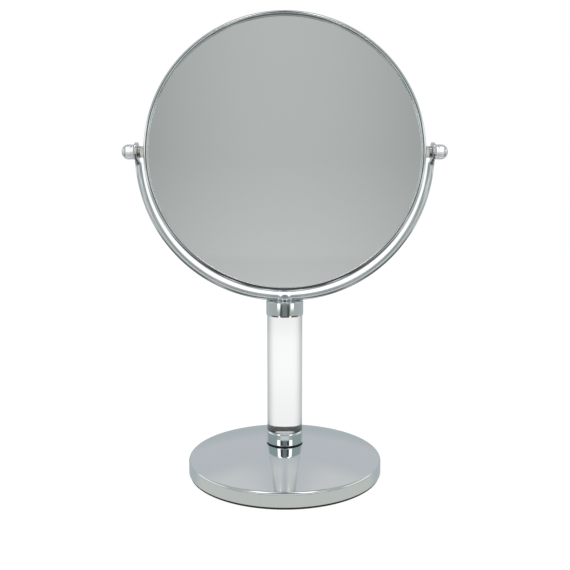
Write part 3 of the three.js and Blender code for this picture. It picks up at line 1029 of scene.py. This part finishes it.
# Lights and flags round the object, each laid over the ones before it: name, side, azimuth from
# the front with its softness, elevation with its softness, and linear colour.
PANELS = (
    ("behind, middle", "both", (115, 200), 20, (8, 95), 8, (0.50, 0.53, 0.56)),
    ("behind, high", "both", (125, 171), 7, (38, 95), 6, (0.59, 0.61, 0.62)),
    ("behind, overhead", "both", (75, 200), 12, (62, 99), 5, (0.36, 0.38, 0.39)),
    ("table in front", "both", (-9, 125), 12, (-95, -19), 3, (0.53, 0.56, 0.535)),
    ("under the object", "both", (-9, 106), 10, (-99, -26), 1.5, (0.08, 0.09, 0.09)),
    ("upper front", "both", (-9, 66), 12, (30, 99), 10, (0.54, 0.56, 0.57)),
    ("front, level", "both", (-9, 27), 5, (-7.2, 36), 2, (0.60, 0.64, 0.64)),
    ("overhead dark flag", "both", (-9, 26), 3, (46, 88), 4, (0.18, 0.20, 0.20)),
    ("low dark flag", "both", (-9, 30), 2, (-10.5, -7.9), 0.3, (0.07, 0.085, 0.085)),
    ("middle, low", "both", (-9, 15), 3, (-10.5, -7.9), 0.3, (0.18, 0.21, 0.2)),
    ("side light, level", "both", (70, 118), 6, (-3, 5.5), 1, (0.80, 0.82, 0.82)),
    ("side light, high", "both", (70, 118), 6, (11.5, 24), 1, (0.96, 0.98, 0.98)),
    ("left strip", "left", (28, 46), 2.5, (-8.4, -7.4), 0.4, (1.6, 1.6, 1.6)),
    ("right strip", "right", (37, 57), 2.5, (-8.4, -7.4), 0.4, (1.6, 1.6, 1.6)),
    ("bevel dark flag", "both", (-9, 28), 2, (9.6, 11.8), 0.4, (0.07, 0.085, 0.085)),
    ("bevel strips", "both", (28, 47), 2, (9.0, 12.5), 0.4, (1.6, 1.6, 1.6)),
    ("low strips", "both", (38, 54), 2, (-58, -48), 2, (1.3, 1.3, 1.3)),
    ("left overhead strip", "left", (37, 55), 2.5, (52, 99), 3, (2.6, 2.6, 2.6)),
    ("right overhead strip", "right", (31, 51), 2.5, (52, 99), 3, (2.6, 2.6, 2.6)),
)
# The same for what the collar and the base show of each other, after a second reflection.
COLLAR_PANELS = (
    ("beside", "both", (45, 128), 6, (-4, 40), 1, (0.28, 0.36, 0.37)),
    ("strips", "both", (28, 47), 2, (4.5, 34), 0.8, (1.6, 1.6, 1.6)),
    ("dark flag", "both", (-9, 28), 2, (4.5, 34), 0.8, (0.05, 0.065, 0.07)),
    ("middle", "both", (-9, 13), 3, (4.5, 34), 0.8, (0.16, 0.19, 0.2)),
)
SIDE_LIGHT = (0.39, 0.43, 0.42)
LIGHT_BEHIND = (0.42, 0.47, 0.49)
# Where the flat mirror sees the wall: from, to and softness, in degrees.
WALL_AZIMUTH = (-26.0, 26.0, 3.0)
WALL_ELEVATION = (4.0, 34.0, 2.0)


def mix_light(tree, share, first, second):
    return add_node(tree, "Mix", {0: share, 6: first, 7: second}, data_type="RGBA").outputs[2]


def ray_angles(tree):
    """Azimuth from the front to the right, and elevation, in degrees."""
    direction = add_node(tree, "TexCoord").outputs["Generated"]
    x, y, z = add_node(tree, "SeparateXYZ", {0: direction}).outputs
    turn = math_node(tree, "ARCTAN2", x, math_node(tree, "MULTIPLY", y, -1.0))
    rise = math_node(tree, "ARCSINE", z)
    return math_node(tree, "DEGREES", turn), math_node(tree, "DEGREES", rise)


def panel_light(tree, azimuth, elevation, again):
    """What the metal reflects. again is 1 for light that is reflected more than once."""
    from_front = math_node(tree, "ABSOLUTE", azimuth)
    to_left = math_node(tree, "MULTIPLY", azimuth, -1.0)
    angles = {"both": from_front, "right": azimuth, "left": to_left}
    behind = remap(tree, from_front, 60.0, 150.0, 0.0, 1.0, smooth=True)
    light = blend_colours(tree, behind, SIDE_LIGHT, LIGHT_BEHIND)
    for panel in PANELS + COLLAR_PANELS:
        _, side, (az_low, az_high), az_soft, (el_low, el_high), el_soft, colour = panel
        across = window(tree, angles[side], az_low, az_high, az_soft)
        upright = window(tree, elevation, el_low, el_high, el_soft)
        mask = math_node(tree, "MULTIPLY", across, upright)
        if panel in COLLAR_PANELS:
            mask = math_node(tree, "MULTIPLY", mask, again)
        light = mix_light(tree, mask, light, (*colour, 1))
    return light


def wall_light(tree, azimuth, elevation):
    """What the flat mirror sees: a pale wall, brighter low down and dimmer to the sides."""
    low = remap(tree, elevation, 8.0, 20.0, 0.56, 0.46)
    high = remap(tree, elevation, 20.0, 32.0, 0.0, 0.015)
    edge = 11.5  # degrees from the middle to the mirror's side
    sideways = math_node(tree, "POWER", math_node(tree, "DIVIDE", azimuth, edge), 2.0)
    level = math_node(tree, "ADD", low, high)
    level = math_node(tree, "SUBTRACT", level, math_node(tree, "MULTIPLY", sideways, 0.1))
    level = math_node(tree, "MAXIMUM", level, 0.3)
    green = math_node(tree, "MULTIPLY", level, 1.03)
    blue = math_node(tree, "MULTIPLY", level, 1.015)
    return add_node(tree, "CombineColor", {0: level, 1: green, 2: blue}).outputs[0]


def clear_light(tree, azimuth, elevation):
    """What shows through the clear rod: white, dimmer towards its edges and its ends."""
    from_front = math_node(tree, "ABSOLUTE", azimuth)
    across = remap(tree, from_front, 118.0, 160.0, 0.62, 1.0, smooth=True)
    top = remap(tree, elevation, -12.0, -8.0, 1.0, 0.88, smooth=True)
    foot = remap(tree, elevation, -18.0, -13.0, 0.92, 1.0, smooth=True)
    level = math_node(tree, "MULTIPLY", across, math_node(tree, "MULTIPLY", top, foot))
    return add_node(tree, "CombineColor", {0: level, 1: level, 2: level}).outputs[0]


def make_studio():
    """White to the camera, and soft panels and flags to what reflects."""
    world = bpy.data.worlds.new("studio")
    bpy.context.scene.world = world
    world.use_nodes = True
    tree = world.node_tree
    tree.nodes.clear()
    azimuth, elevation = ray_angles(tree)
    path = add_node(tree, "LightPath").outputs
    through = math_node(tree, "MINIMUM", path["Transmission Depth"], 1.0)
    bounced = math_node(tree, "ADD", path["Glossy Depth"], path["Diffuse Depth"])
    bounced = math_node(tree, "MINIMUM", bounced, 1.0)

    ahead = window(tree, azimuth, *WALL_AZIMUTH)
    ahead = math_node(tree, "MULTIPLY", ahead, window(tree, elevation, *WALL_ELEVATION))
    in_mirror = math_node(tree, "MULTIPLY", ahead, through)
    again = math_node(tree, "GREATER_THAN", path["Glossy Depth"], 1.5)
    reflected = panel_light(tree, azimuth, elevation, again)
    reflected = mix_light(tree, in_mirror, reflected, wall_light(tree, azimuth, elevation))
    direct = mix_light(tree, through, (1, 1, 1, 1), clear_light(tree, azimuth, elevation))
    shown = mix_light(tree, bounced, direct, reflected)
    background = add_node(tree, "Background", {"Color": shown, "Strength": 1.0})
    output = add_node(tree, "OutputWorld")
    tree.links.new(background.outputs[0], output.inputs[0])


def make_floor():
    """A pale floor: nearly white, with a faint shadow where the base stands."""
    bm = bmesh.new()
    bmesh.ops.create_circle(bm, cap_ends=True, radius=3, segments=64)
    floor = to_object("floor", bm)
    floor.location.z = -0.05 * MM  # just clear of the pad
    glow = {"Emission_Strength": 0.9, "Emission_Color": (1, 1, 1, 1)}
    made, tree, shader = new_material("floor", Roughness=0.9, **glow)
    tint = blend_colours(tree, noise(tree, 4, 2), (0.2, 0.2, 0.2), (0.22, 0.22, 0.22))
    tree.links.new(tint, shader.inputs["Base Color"])
    floor.data.materials.append(made)
    floor.visible_glossy = False
    floor.visible_transmission = False


# Soft lamps by each knob: name, place from the knob, size and power.
KNOB_LAMPS = (
    ("above", (0, -110 * MM, 70 * MM), 200 * MM, 0.08),
    ("below", (0, -70 * MM, -120 * MM), 300 * MM, 0.11),
)


def light_knobs(knobs):
    """Lamps that light only the knobs."""
    lit = bpy.data.collections.new("lit_knobs")
    for made in knobs:
        lit.objects.link(made)
    for side, sign in SIDES.items():
        knob_middle = Vector((sign * sum(reach(side + "_knob")) / 2, 0, PIVOT_Z))
        for name, offset, size, power in KNOB_LAMPS:
            lamp = bpy.data.lights.new(side + "_lamp_" + name, "AREA")
            lamp.size, lamp.energy = size, power
            holder = bpy.data.objects.new(lamp.name, lamp)
            bpy.context.scene.collection.objects.link(holder)
            holder.location = knob_middle + Vector(offset)
            holder.rotation_euler = (-Vector(offset)).to_track_quat("-Z", "Y").to_euler()
            holder.light_linking.receiver_collection = lit


def set_rendering():
    scene = bpy.context.scene
    scene.view_settings.view_transform = "Standard"
    scene.cycles.max_bounces = 24
    scene.cycles.glossy_bounces = 10
    scene.cycles.transmission_bounces = 20
    scene.cycles.caustics_reflective = True
    scene.cycles.caustics_refractive = True
    scene.cycles.use_denoising = True


# ---------- assembly ----------

make_camera()

base_pad()
ballast_disc()
base_cover()
base_bolt()
base_small_pieces()

cup("lower_collar", *heights("lower_collar"), BOLT_HOLE, COLLAR_BEVEL)
acrylic_rod()
brass_insert("lower_insert", BOLT_HOLE)
brass_insert("upper_insert", SCREW_HOLE)
cup("upper_cap", *heights("upper_cap")[::-1], SCREW_HOLE, CAP_BEVEL)
yoke()
yoke_screw()

frame_shells()
front_glass()
rear_glass()
backing_disc()
carrier_ring()
knobs = []
for side in SIDES:
    pivot_nut(side)
    washers(side)
    pivot_screw(side)
    knobs.append(knob(side))

make_studio()
make_floor()
light_knobs(knobs)
set_rendering()
